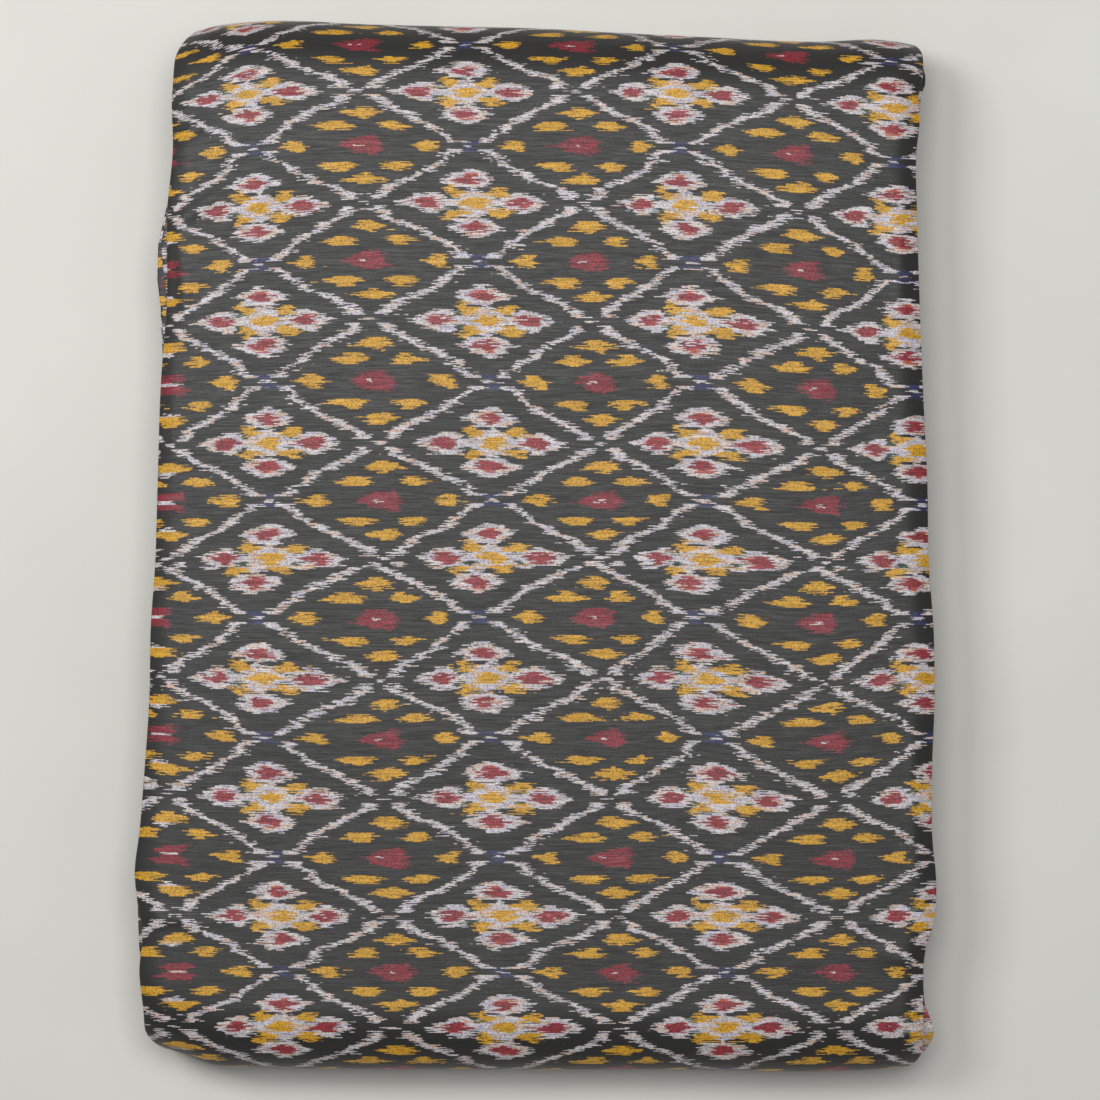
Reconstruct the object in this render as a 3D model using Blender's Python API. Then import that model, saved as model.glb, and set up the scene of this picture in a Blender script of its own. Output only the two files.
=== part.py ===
"""Ikat cloth, folded across its width to a strip and wound flat into a bolt, lying on its back.

The solid is the strip: one sheet that winds from the middle of the bolt outwards, its layers a little
apart. X runs across the strip, Y along the bolt and Z up. The underside of the last run is flat.
"""

import math

import bmesh
import bpy
import numpy as np

MM = 0.001

# The bolt and its strip, in millimetres
BOLT_LENGTH = 382.6
LAYER_THICKNESS = 2.6
LAYER_GAP = 0.6
PITCH = LAYER_THICKNESS + LAYER_GAP
TURNS = 6
HALF_LENGTH = BOLT_LENGTH / 2
HALF_THICKNESS = LAYER_THICKNESS / 2

# Runs are counted from the core outwards. Even ones lie above the middle, odd ones below
LAST_RUN = 2 * TURNS - 1
OUTER_RUN = LAST_RUN - 1

# How far the strip's two cut ends stay from the end bends
CORE_START = 22.0
TAIL_GAP = 12.0

# The outermost end bend has this half height, and is longer than a half circle by this share
OUTER_BEND = (TURNS - 0.5) * PITCH
END_STRETCH = 0.3

# Facets: steps round an end bend, along an inner run, and round a fold edge
LEAST_BEND_STEPS = 6
MOST_BEND_STEPS = 12
RUN_STEPS = 7
FOLD_STEPS = 3

# Places across the strip, as shares of its flat width, where the surface has points
COLUMNS = (0.03, 0.12, 0.35, 0.65, 0.88, 0.97)

# The fold edges of the outer turn: place along the bolt, left edge, right edge
FOLD_EDGES = (
    (-180.0, -143.2, 141.2),
    (-165.0, -144.6, 141.1),
    (-151.0, -143.5, 141.8),
    (-140.0, -145.2, 145.0),
    (-127.0, -146.4, 146.0),
    (-108.0, -144.7, 144.6),
    (-85.0, -143.1, 144.5),
    (-55.0, -141.2, 145.6),
    (-30.0, -140.8, 145.2),
    (-8.0, -138.4, 143.6),
    (20.0, -138.5, 143.2),
    (60.0, -137.3, 141.5),
    (90.0, -135.2, 140.5),
    (126.0, -135.2, 139.6),
    (150.0, -133.2, 139.4),
    (168.0, -133.6, 140.6),
    (178.0, -132.4, 139.6),
)

# The bolt's four corners: side, end, how far the fold edge draws in, how far from the end that starts
CORNERS = (
    (-1, 1, 12.0, 12.0),
    (1, 1, 10.0, 8.0),
    (-1, -1, 12.0, 8.0),
    (1, -1, 11.0, 8.0),
)

# How far each end falls back across the strip: place across, at the far end, at the near end
END_DROPS = (
    (-147.0, 11.0, 10.5),
    (-132.0, 7.5, 7.5),
    (-118.0, 3.0, 3.5),
    (-103.0, 0.3, 1.8),
    (-60.0, 0.8, 1.3),
    (0.0, 2.6, 1.3),
    (57.0, 4.9, 1.3),
    (104.0, 6.8, 0.0),
    (128.0, 7.8, 0.8),
    (146.0, 12.0, 3.5),
)
DROP_STARTS = 75.0
DROP_FULL = 160.0

# Runs whose fold edge slips out past the outer turn: run, side, place along, reach, how far out
SLIPPED_FOLDS = (
    (8, -1, 106.0, 22.0, 4.6),
    (8, 1, 178.0, 9.0, 2.2),
    (8, 1, -176.0, 12.0, 4.2),
    (6, -1, -150.0, 14.0, 3.2),
)

# The other fold edges lie a little inside the outer turn's. A run's amount swings round the mean
# inset, by an angle of SWING_STEP from one run to the next, and waves along the bolt
LAYER_INSET = 1.4
LAYER_SWING = 0.9
SWING_STEP = 2.4
WAVE_DEPTH = 0.6
WAVE_LENGTH = 170.0

# The stack is pressed thinner towards its fold edges by this share of its height
EDGE_SETTLE = 0.05
SETTLE_POWER = 4
HALF_WIDTH = 145.0

# Neighbouring facets that meet at more than this angle show a crisp edge
CRISP_ANGLE = math.radians(50)
CLOTH_COLOUR = (0.024, 0.022, 0.025, 1.0)
CLOTH_ROUGHNESS = 0.82


def clear_scene():
    """Removes whatever the file opened with."""
    for item in list(bpy.data.objects):
        bpy.data.objects.remove(item, do_unlink=True)


def smooth_step(share):
    """Goes from 0 to 1 with no kink as share does, and stays there outside."""
    share = min(max(share, 0.0), 1.0)
    return share * share * (3 - 2 * share)


def from_table(rows, column, at):
    """Reads a column of a table whose first column rises, between its rows."""
    return float(np.interp(at, [row[0] for row in rows], [row[column] for row in rows]))


def bend_reach(half_height):
    """How far an end bend of this half height goes past the straight runs."""
    return half_height * (1 + END_STRETCH * half_height / OUTER_BEND)


def straight_end(end):
    """Where the straight runs stop at the far end (1) and the near end (-1)."""
    half_height = OUTER_BEND if end > 0 else OUTER_BEND - PITCH / 2
    return HALF_LENGTH - HALF_THICKNESS - bend_reach(half_height)


def run_height(run):
    """Height of a run's middle over the bolt's middle."""
    height = (run // 2 + 0.5) * PITCH
    return height if run % 2 == 0 else -height


def run_stations(run):
    """Places along one straight run, as (along, height, normal, run), in winding order."""
    heading = 1 if run % 2 == 0 else -1
    start = -straight_end(-1) if heading > 0 else straight_end(1)
    stop = straight_end(1) if heading > 0 else -straight_end(-1)
    if run == 0:
        start += CORE_START
    if run == LAST_RUN:
        stop += TAIL_GAP
    if run == OUTER_RUN:
        places = [start] + [row[0] for row in FOLD_EDGES if start < row[0] < stop] + [stop]
    else:
        places = np.linspace(start, stop, RUN_STEPS)
    return [(along, run_height(run), (0.0, heading), float(run)) for along in places]


def bend_stations(run):
    """Places round the end bend after a run, without its two ends."""
    end = 1 if run % 2 == 0 else -1
    first, last = run_height(run), run_height(run + 1)
    middle, half_height = (first + last) / 2, abs(first - last) / 2
    reach = bend_reach(half_height)
    extra_steps = (MOST_BEND_STEPS - LEAST_BEND_STEPS) * half_height / OUTER_BEND
    steps = round(LEAST_BEND_STEPS + extra_steps)
    found = []
    for step in range(1, steps):
        turned = math.pi * step / steps
        out, up = math.sin(turned), end * math.cos(turned)
        normal = np.array([end * out * half_height, up * reach])
        normal /= np.linalg.norm(normal)
        along = end * (straight_end(end) + reach * out)
        found.append((along, middle + half_height * up, tuple(normal), run + step / steps))
    return found


def winding():
    """Every place along the strip, from its inner end to its outer end."""
    stations = []
    for run in range(LAST_RUN):
        stations += run_stations(run) + bend_stations(run)
    return stations + run_stations(LAST_RUN)


def corner_inset(side, along):
    """How far the fold edge draws in where the bolt's corner is round."""
    for corner_side, end, inset, reach in CORNERS:
        past = (along * end - (HALF_LENGTH - reach)) / reach
        if corner_side == side and past > 0:
            return inset * (1 - math.sqrt(1 - min(past, 1.0) ** 2))
    return 0.0


def layer_inset(side, along, run):
    """How far one whole run's fold edge lies inside the outer turn's."""
    if run == OUTER_RUN:
        return 0.0
    turned = run * SWING_STEP + side
    inset = LAYER_INSET + LAYER_SWING * math.sin(turned)
    inset += WAVE_DEPTH * math.sin(along / WAVE_LENGTH * math.tau + turned)
    for slipped_run, slipped_side, place, reach, out in SLIPPED_FOLDS:
        if (slipped_run, slipped_side) == (run, side):
            inset -= out * math.exp(-(((along - place) / reach) ** 2))
    return inset


def fold_edge(side, along, run):
    """Where the strip's fold edge lies across the bolt, at a place along one run or bend."""
    edge = from_table(FOLD_EDGES, 1 if side < 0 else 2, along)
    before = math.floor(run)
    passed = smooth_step(run - before)
    inset = (1 - passed) * layer_inset(side, along, before)
    if passed > 0:
        inset += passed * layer_inset(side, along, before + 1)
    return edge - side * (inset + corner_inset(side, along))


def section(left, right):
    """Points round the strip's section, as (across, off the middle), with round fold edges."""
    def fold(edge, side):
        turns = [math.pi * (step / FOLD_STEPS - 0.5) for step in range(FOLD_STEPS + 1)]
        return [
            (edge - side * HALF_THICKNESS * (1 - math.cos(turned)), HALF_THICKNESS * math.sin(turned))
            for turned in turns
        ]

    inner_left, inner_right = left + HALF_THICKNESS, right - HALF_THICKNESS
    across = [inner_left + share * (inner_right - inner_left) for share in COLUMNS]
    upper = [(place, HALF_THICKNESS) for place in across]
    lower = [(place, -HALF_THICKNESS) for place in reversed(across)]
    return fold(left, -1) + upper + fold(right, 1)[::-1] + lower


def settle(across, along, up):
    """Moves a point of the even bolt to where it lies in the real one, with the floor at height 0."""
    column = 1 if along > 0 else 2
    pulled = smooth_step((abs(along) - DROP_STARTS) / (DROP_FULL - DROP_STARTS))
    drop = pulled * from_table(END_DROPS, column, across)
    lift = 1 - EDGE_SETTLE * (across / HALF_WIDTH) ** SETTLE_POWER
    floor = run_height(LAST_RUN) - HALF_THICKNESS
    return across, along - math.copysign(drop, along), (up - floor) * lift


def strip_rings():
    """The strip's section at every place of the winding, as an array of rings of points."""
    rings = []
    for along, height, (normal_y, normal_z), run in winding():
        edges = fold_edge(-1, along, run), fold_edge(1, along, run)
        rings.append(
            [
                settle(across, along + normal_y * off, height + normal_z * off)
                for across, off in section(*edges)
            ]
        )
    return np.array(rings)


def centred(rings):
    """Moves the points so that the middle of the bolt's outline is over the origin."""
    flat = rings.reshape(-1, 3)
    middle = (flat.min(axis=0) + flat.max(axis=0)) / 2
    return rings - np.array([middle[0], middle[1], 0.0])


def cloth_material():
    """Black handloom cotton, with its sheen too weak to show on the plain solid."""
    material = bpy.data.materials.new("black_handloom_cotton")
    material.use_nodes = True
    shader = material.node_tree.nodes["Principled BSDF"]
    shader.inputs["Base Color"].default_value = CLOTH_COLOUR
    shader.inputs["Roughness"].default_value = CLOTH_ROUGHNESS
    shader.inputs["Metallic"].default_value = 0.0
    return material


def build_cloth():
    """Makes the wound strip as one closed body and links it to the scene."""
    shape = bmesh.new()
    rings = [[shape.verts.new(point * MM) for point in ring] for ring in centred(strip_rings())]
    for ring, following in zip(rings, rings[1:]):
        for place in range(len(ring)):
            beside = (place + 1) % len(ring)
            shape.faces.new((ring[place], ring[beside], following[beside], following[place]))
    shape.faces.new(rings[0])
    shape.faces.new(rings[-1])
    bmesh.ops.recalc_face_normals(shape, faces=shape.faces)
    mesh = bpy.data.meshes.new("ikat_cloth")
    shape.to_mesh(mesh)
    shape.free()
    mesh.materials.append(cloth_material())
    mesh.shade_smooth()
    mesh.set_sharp_from_angle(angle=CRISP_ANGLE)
    cloth = bpy.data.objects.new("ikat_cloth", mesh)
    bpy.context.scene.collection.objects.link(cloth)
    return cloth


def main():
    clear_scene()
    build_cloth()


main()
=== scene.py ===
"""Looks of the ikat bolt: the woven sheet in its folds and turns, its dyed weft, the floor and the light.

The real cloth is one length of black weft ikat. It is folded in four across its width and wound flat. Here
it is a thin sheet that follows the same winding as the CAD solid, with four plies of cloth in each strip.
X runs along the weft, across the strip, and Y along the warp, towards the far end of the bolt.
"""

import logging
import math
from collections.abc import Callable
from dataclasses import dataclass
from enum import Enum
from functools import partial

import bpy
import numpy as np
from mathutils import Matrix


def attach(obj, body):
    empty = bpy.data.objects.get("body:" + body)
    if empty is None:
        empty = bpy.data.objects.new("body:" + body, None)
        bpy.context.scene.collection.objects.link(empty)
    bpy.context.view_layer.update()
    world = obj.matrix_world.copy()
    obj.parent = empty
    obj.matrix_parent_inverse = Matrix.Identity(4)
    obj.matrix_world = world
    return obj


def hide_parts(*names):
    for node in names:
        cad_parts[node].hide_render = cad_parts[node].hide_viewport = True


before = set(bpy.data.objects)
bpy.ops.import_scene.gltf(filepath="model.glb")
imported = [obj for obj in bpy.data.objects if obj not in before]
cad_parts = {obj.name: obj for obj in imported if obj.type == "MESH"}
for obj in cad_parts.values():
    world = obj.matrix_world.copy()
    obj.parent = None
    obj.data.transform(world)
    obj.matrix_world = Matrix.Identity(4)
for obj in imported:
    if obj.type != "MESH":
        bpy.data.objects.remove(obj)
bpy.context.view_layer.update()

MM = 0.001
CLOTH_NODE = "ikat_cloth"
BODY = "root"
WEAVE_MAP = "weave"
BAKE_MAP = "OFBake"
LOOSE = "loose"
WHOLE_MAP = (0.0, 1.0)

# The kinds of node that are used again and again
MATH = "ShaderNodeMath"
MIX = "ShaderNodeMix"
NOISE = "ShaderNodeTexNoise"
MAP_RANGE = "ShaderNodeMapRange"

Array = np.ndarray
Rows = tuple[tuple[float, ...], ...]
Socket = bpy.types.NodeSocket
Adder = Callable[..., Socket]

log = logging.getLogger("ikat_bolt")


def smooth_step(share: Array) -> Array:
    """Eases values that go from 0 to 1, with no kink, and holds them there outside."""
    share = np.clip(share, 0.0, 1.0)
    return share * share * (3 - 2 * share)


def smooth_read(places: Array | tuple, values: Array | tuple, at: Array) -> Array:
    """Reads a table on a smooth curve through its rows, and holds its end values outside.

    Args:
        places: Where the rows are, rising.
        values: One value for each place, or for each place an array shaped as at.
        at: Where to read.

    Returns:
        The values there, shaped as at.
    """
    places, values, at = np.array(places, float), np.array(values, float), np.array(at, float)
    if values.ndim == 1:
        values = np.broadcast_to(values.reshape(-1, *(1,) * at.ndim), (len(places), *at.shape))
    slopes = np.gradient(values, places, axis=0)
    at = np.clip(at, places[0], places[-1])
    above = np.clip(np.searchsorted(places, at), 1, len(places) - 1)
    gap = places[above] - places[above - 1]
    share = (at - places[above - 1]) / gap
    rows = (above - 1, above)
    start, stop, rise, run_out = (
        np.take_along_axis(table, row[None], axis=0)[0] for table in (values, slopes) for row in rows
    )
    leaving = share * (1 - share) ** 2 * gap * rise
    arriving = share**2 * (share - 1) * gap * run_out
    return start + (stop - start) * smooth_step(share) + leaving + arriving


def joined(parts: list[tuple]) -> list[Array]:
    """Sets a section's parts side by side. Each has a few measures, spread over stations and points."""
    spread = [np.broadcast_arrays(*part) for part in parts]
    return [np.concatenate(measure, axis=1) for measure in zip(*spread)]


def linear_colour(code: str) -> tuple[float, float, float, float]:
    """Turns an sRGB hex colour such as "#e0a21c" to linear red, green and blue, with full alpha."""
    shares = (int(code[at : at + 2], 16) / 255 for at in (1, 3, 5))
    return *(part / 12.92 if part <= 0.04045 else ((part + 0.055) / 1.055) ** 2.4 for part in shares), 1.0


def plug(node: bpy.types.Node, inputs: dict | tuple | list) -> None:
    """Links sockets to a node's inputs, and sets the others.

    Args:
        node: The node.
        inputs: What goes in, in the inputs' order, or by name or number.
    """
    for name, value in (inputs if isinstance(inputs, dict) else dict(enumerate(inputs))).items():
        if isinstance(value, Socket):
            node.id_data.links.new(value, node.inputs[name])
        else:
            node.inputs[name].default_value = value


def add_node(
    tree: bpy.types.NodeTree, kind: str, inputs: dict | tuple | list = (), out: int | str = 0, **settings
) -> Socket:
    """Adds a node with its settings and links.

    Args:
        tree: The node tree that gets it.
        kind: Blender's name for the kind of node.
        inputs: The sockets to link and the values to give, in the inputs' order, or by name or number.
        out: The output to hand back, by name or number.
        **settings: The node's own settings.

    Returns:
        One of the node's outputs, or its first input if it has no output.
    """
    node = tree.nodes.new(kind)
    for name, value in settings.items():
        setattr(node, name, value)
    plug(node, inputs)
    return node.outputs[out] if len(node.outputs) else node.inputs[0]


def new_material(name: str) -> tuple[bpy.types.Material, Adder, bpy.types.Node]:
    """Makes a material with an empty Principled shader.

    Args:
        name: The material's name.

    Returns:
        The material, what adds a node to it, and its shader.
    """
    material = bpy.data.materials.new(name)
    material.use_nodes = True
    return material, partial(add_node, material.node_tree), material.node_tree.nodes["Principled BSDF"]


class Dye(Enum):
    """The colours of the weft, as sRGB hex."""

    BLACK = "#252422"
    GOLD = "#d49e20"
    CRIMSON = "#8e2130"
    RED = "#9b3038"
    CLAY = "#bd5846"
    WHITE = "#d3cbc9"
    NAVY = "#2d3560"
    GREEN = "#354b40"


DYES = BLACK, GOLD, CRIMSON, RED, CLAY, WHITE, NAVY, GREEN = tuple(Dye)


# A dyed stretch of a weft row: start, stop and dye, in millimetres from its motif's middle
Band = tuple[float, float, Dye]
Cell = dict[int, tuple[Band, ...]]

# The chart is drawn in rows of the tie-dyed weft bundles, 24 to a repeat, and mirrored up and down.
# Row 0 runs through a motif's middle. A later stretch covers an earlier one
FLOWER = {
    0: ((-26.6, 26.4, WHITE), (-21.6, -11.8, RED), (-4.7, 5.6, GOLD), (10.6, 21.2, RED)),
    1: (
        (-23.4, 23.6, WHITE), (-19.6, -14.4, RED), (-11.8, -7.8, GREEN),
        (-2.4, 3.4, GOLD), (7.4, 10.4, GREEN), (14, 19.6, RED),
    ),
    2: (
        (-18.2, -13.2, WHITE), (14.6, 18.8, WHITE), (-9.8, -2.6, GOLD), (4, 12.6, GOLD),
        (-2.6, 3, WHITE),
    ),
    3: ((-10.2, -6.4, GOLD), (7.8, 12.2, GOLD), (-0.8, 1.6, WHITE)),
    4: ((-7.4, 7, WHITE), (-2.4, 1.8, RED)),
    5: ((-10, 9.2, WHITE), (-5.6, 4.6, RED)),
    6: ((-7.4, 6.4, WHITE), (-2.6, 1.6, CLAY)),
    7: ((-2.6, 1.8, WHITE),),
}
SEED_CELL = {
    0: ((-8.3, 7.7, CRIMSON), (-1.7, 1.9, WHITE), (-28.6, -19.6, GOLD), (19.2, 27.8, GOLD)),
    1: ((-4.8, 7, CRIMSON), (-24.4, -19.8, GOLD), (22, 26.6, GOLD)),
    2: ((3.2, 5.2, CRIMSON),),
    3: ((-8.4, -7, GOLD),),
    4: ((-16.2, -3, GOLD), (6.4, 17.2, GOLD)),
    5: ((-11.4, -5.8, GOLD), (8.8, 13.8, GOLD)),
    6: ((0.8, 3.6, GOLD),),
    7: ((-5.4, 8.2, GOLD),),
    8: ((-1.4, 4, GOLD),),
}
# In the last column at the left the seed is two bars, and the dashes over and under it have a white patch
EDGE_SEED_CELL = {
    0: ((-2.8, 2.8, WHITE), (17, 27.6, GOLD)),
    1: ((-6.8, 6.8, CRIMSON), (21, 25.8, GOLD)),
    6: ((-4.6, 3, WHITE),),
}
# The white lattice between the cells: where its dash starts and stops on either side, for each row
LATTICE = (
    (37.8, 41.5), (32.6, 36.8), (31.3, 35.8), (28.6, 32.7), (24.9, 29.3), (20.8, 25), (17.2, 20.9),
    (14.1, 17.7), (11.4, 14.8), (9.4, 12), (7, 9.8), (3.4, 8.2), (-1.5, 1.8),
)
LATTICE_FOOT = {11: (-2.8, 2.8, NAVY)}


@dataclass(frozen=True)
class IkatCotton:
    """Handloom cotton plain weave, its weft tie-dyed before weaving, its warp black.

    It gives the eye a dry cloth with a soft sheen where it faces the light, streaked along the weft, with
    feathered edges round every motif. Lengths in millimetres. The picks lie 0.36 mm apart, as real ones do.
    The dark dots of the warp are drawn about twice as long as real ones, so that they show in the render.
    """

    repeat_across: float = 79.3
    repeat_along: float = 43.0
    rows: int = 12
    picks_in_row: int = 5
    flower_column: float = -19.0

    # The chart is laid out on this step along the weft, with a half row filled in between two rows. A dash
    # with none in the next row tapers off by this much, and one narrower than the least is left out
    chart_step: float = 0.1
    taper: float = 2.7
    least_dash: float = 1.9
    dye_bleed: float = 1.0

    # How far single picks, whole rows and the cloth as a whole slip along the weft, and over what reach. A
    # higher stray power lets fewer picks go the whole way, which is that many fingers more
    finger: float = 6.8
    finger_reach: float = 5.4
    finger_stray: float = 2.2
    stray_power: float = 5.0
    bundle: float = 5.2
    bundle_reach: float = 17.0
    drift: float = 2.4
    drift_reach: float = 5.0
    row_wander: float = 0.2

    # Nearer than this place the weft comes from another bobbin and lies further along
    bobbin_place: float = -2.9
    bobbin_shift: float = 5.8

    # The column where the other seed cell is
    edge_column: tuple[float, float] = (-160.0, -117.0)

    # The warp's dots: their length, how much of the noise they show in, how black they are on pale and on
    # dark weft, and how light those are
    warp_spacing: float = 0.8
    warp_shows: tuple[float, float] = (0.46, 0.64)
    warp_dots: tuple[float, float] = (0.48, 0.74)
    warp_light: tuple[float, float] = (0.05, 0.4)
    warp_black: str = "#1d1c1f"

    # The tints of the undyed white: sRGB, and where in the clouds each begins and is full
    tints: tuple[tuple[str, float, float], ...] = (("#bdb7d0", 0.5, 0.6), ("#cf9c7c", 0.43, 0.35))
    tint_most: float = 0.75
    tint_reach: float = 9.0
    tinted_light: tuple[float, float] = (0.45, 0.65)

    # The uneven weft: the length of its streaks, their range in the noise, and what they do to the colour
    streak: float = 11.0
    streak_range: tuple[float, float] = (0.3, 0.7)
    streak_shade: tuple[float, float] = (0.74, 1.16)
    thread_height: float = 0.06
    bump: float = 0.5

    # The step from one thread to the next in each noise: the larger, the less neighbours agree
    unlike: float = 3.37
    streak_unlike: float = 1.71
    tint_unlike: float = 0.21

    roughness: tuple[float, float] = (0.42, 0.6)
    sheen: float = 0.08
    sheen_roughness: float = 0.4

    @property
    def pick_height(self) -> float:
        """Height of one pick."""
        return self.repeat_along / (2 * self.rows) / self.picks_in_row

    def dyes_along(self, row: int, seed_cell: Cell) -> Array:
        """Finds the dye at each step along one row of the repeat.

        Args:
            row: The row, counted from the flower's middle towards the seed's.
            seed_cell: The chart of the dark cell, half a repeat away both ways.

        Returns:
            The number of the dye in DYES, for each step.
        """
        half = self.repeat_across / 2
        start, stop = LATTICE[row]
        bands = [LATTICE_FOOT[row]] if row in LATTICE_FOOT else []
        bands += [(start, stop, WHITE), (-stop, -start, WHITE), *FLOWER.get(row, ())]
        seeds = seed_cell.get(self.rows - row, ())
        bands += [(start + by, stop + by, dye) for start, stop, dye in seeds for by in (half, -half)]
        first, whole = bands[:3], self.repeat_across
        bands += [(start + by, stop + by, dye) for by in (-whole, whole) for start, stop, dye in first]
        places = np.arange(-half, half, self.chart_step) + self.chart_step / 2
        dyes = np.zeros(len(places), int)
        for start, stop, dye in bands:
            dyes[(places > start) & (places < stop)] = DYES.index(dye)
        return dyes

    def depth(self, inside: Array) -> Array:
        """How deep each step lies in a row's stretches, in millimetres, below 0 outside them."""
        around = np.tile(inside, 3)
        edges = np.flatnonzero(around[1:] != around[:-1]) + 0.5
        if not len(edges):
            return np.full(len(inside), -self.taper)
        steps = np.arange(len(inside), 2 * len(inside))
        gap = np.abs(steps[:, None] - edges).min(axis=1) * self.chart_step
        return np.maximum(np.where(inside, gap, -gap), -self.taper)

    def half_rows(self, seed_cell: Cell) -> list[Array]:
        """Lays out the chart from the flower's middle to the seed's, with the half rows filled in.

        Args:
            seed_cell: The chart of the dark cell.

        Returns:
            The dye numbers along each half row.
        """
        rows = [self.dyes_along(row, seed_cell) for row in range(self.rows + 1)]
        found = rows[:1]
        for before, after in zip(rows, rows[1:]):
            dyed = self.depth(before > 0) + self.depth(after > 0) > 0
            depths = [self.depth(before == dye) + self.depth(after == dye) for dye in range(1, len(DYES))]
            found += [np.where(dyed, 1 + np.argmax(depths, axis=0), 0), after]
        return found

    def row_ramp(self, add: Adder, share: Socket, dyes: Array) -> Socket:
        """Adds the colour ramp of one half row, with a soft change where two dyes meet.

        Args:
            add: Adds a node.
            share: Where in the repeat a point is, from 0 to 1.
            dyes: The dye numbers along the half row.

        Returns:
            The dye's colour there.
        """
        cuts = [0, *(np.flatnonzero(dyes[1:] != dyes[:-1]) + 1), len(dyes)]
        runs = []
        for start, stop in zip(cuts, cuts[1:]):
            short = (stop - start) * self.chart_step < self.least_dash and 0 < start and stop < len(dyes)
            if not (runs and (short or runs[-1][1] == dyes[start])):
                runs.append((start * self.chart_step, dyes[start]))
        stops = []
        for (_, before), (at, after) in zip(runs, runs[1:]):
            stops += [(at - self.dye_bleed / 2, before), (at + self.dye_bleed / 2, after)]
        colour = add("ShaderNodeValToRGB", (share,))
        elements = colour.node.color_ramp.elements
        elements.remove(elements[1])
        last = 0.0
        for count, (at, dye) in enumerate(stops):
            last = max(max(at, 0.0) / self.repeat_across, last)
            element = elements.new(last) if count else elements[0]
            element.position = last
            element.color = linear_colour(DYES[dye].value)
        return colour

    def on_threads(
        self, add: Adder, across: Socket, reach: float, thread: Socket, unlike: float, detail: float = 1.0
    ) -> Socket:
        """Adds a noise that is smooth along the weft and goes its own way on each thread.

        Args:
            add: Adds a node.
            across: Place along the weft.
            reach: The length over which it changes.
            thread: The thread's number.
            unlike: The step from one thread to the next.
            detail: How fine it is.

        Returns:
            A value round a half.
        """
        over = add(MATH, (across, reach), operation="DIVIDE")
        apart = add(MATH, (thread, unlike), operation="MULTIPLY")
        at = add("ShaderNodeCombineXYZ", (over, apart))
        return add(NOISE, {"Vector": at, "Scale": 1.0, "Detail": detail}, noise_dimensions="2D")

    def build(self) -> bpy.types.Material:
        """Makes the material.

        Returns:
            The finished material, which reads the weave's own map in metres.
        """
        material, add, shader = new_material("handloom_ikat_cotton")
        woven = add("ShaderNodeUVMap", uv_map=WEAVE_MAP)
        in_mm = add("ShaderNodeVectorMath", {0: woven, "Scale": 1 / MM}, operation="SCALE")
        across = add("ShaderNodeSeparateXYZ", (in_mm,), "X")
        along = across.node.outputs["Y"]
        pick_share = add(MATH, (along, self.pick_height), operation="DIVIDE")
        pick = add(MATH, (pick_share,), operation="FLOOR")
        place, from_middle = self.slipped(add, across, along, pick)
        colour, dots = self.crossed_by_warp(add, self.dyed(add, place, from_middle), across, pick)
        streaks = self.on_threads(add, across, self.streak, pick, self.streak_unlike, 3.0)
        shade = add(MAP_RANGE, (streaks, *self.streak_range, *self.streak_shade))
        colour = add(MIX, {0: 1.0, 6: colour, 7: shade}, 2, data_type="RGBA", blend_type="MULTIPLY")
        gloss = add(MAP_RANGE, (streaks, *self.streak_range, *self.roughness[::-1]))
        crown = add(MATH, (pick_share, 0.5), operation="PINGPONG")
        crowned = add(MATH, (crown, streaks), operation="ADD")
        height = add(MATH, (crowned, dots), operation="SUBTRACT")
        raised = {"Strength": self.bump, "Distance": self.thread_height * MM, "Height": height}
        plug(shader, {"Base Color": colour, "Roughness": gloss, "Normal": add("ShaderNodeBump", raised)})
        plug(shader, {"Sheen Weight": self.sheen, "Sheen Roughness": self.sheen_roughness})
        return material

    def slipped(self, add: Adder, across: Socket, along: Socket, pick: Socket) -> tuple[Socket, Socket]:
        """Finds a point's place in the dyed pattern, each pick a little out of step with the next.

        Args:
            add: Adds a node.
            across: Place along the weft.
            along: Place along the warp.
            pick: The number of the pick.

        Returns:
            Place along the dyed weft, and in rows from a flower's middle.
        """
        chance = add("ShaderNodeTexWhiteNoise", {"W": pick}, noise_dimensions="1D")
        wander = add(MAP_RANGE, {0: chance, 3: 0.5 - self.row_wander, 4: 0.5 + self.row_wander})
        steps = add(MATH, (pick, 1 / self.picks_in_row, wander), operation="MULTIPLY_ADD")
        from_middle = add(MATH, (steps, 0.5 - 0.5 / self.picks_in_row), operation="SUBTRACT")
        bundle = add(MATH, (from_middle,), operation="ROUND")

        stray = add(MATH, (chance, self.stray_power), operation="POWER")
        fingers = add(MATH, (stray, self.finger * self.finger_stray, self.finger), operation="MULTIPLY_ADD")
        slips = []
        slipping = ((pick, fingers, self.finger_reach), (bundle, self.bundle, self.bundle_reach))
        for thread, most, reach in slipping:
            slip = self.on_threads(add, across, reach, thread, self.unlike)
            even = add(MATH, (slip, 0.5), operation="SUBTRACT")
            slips.append(add(MATH, (even, most), operation="MULTIPLY"))
        slow = add(MATH, (along, self.drift_reach), operation="DIVIDE")
        drift = add(NOISE, {"W": slow, "Scale": 1.0, "Detail": 0.0}, noise_dimensions="1D")
        drifted = add(MATH, (drift, self.drift, -self.drift / 2), operation="MULTIPLY_ADD")
        nearer = add(MATH, (along, self.bobbin_place), operation="LESS_THAN")
        both = add(MATH, slips, operation="ADD")
        shifts = add(MATH, (nearer, self.bobbin_shift, both), operation="MULTIPLY_ADD")
        moved = add(MATH, (shifts, drifted), operation="ADD")
        return add(MATH, (across, moved), operation="ADD"), from_middle

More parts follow.
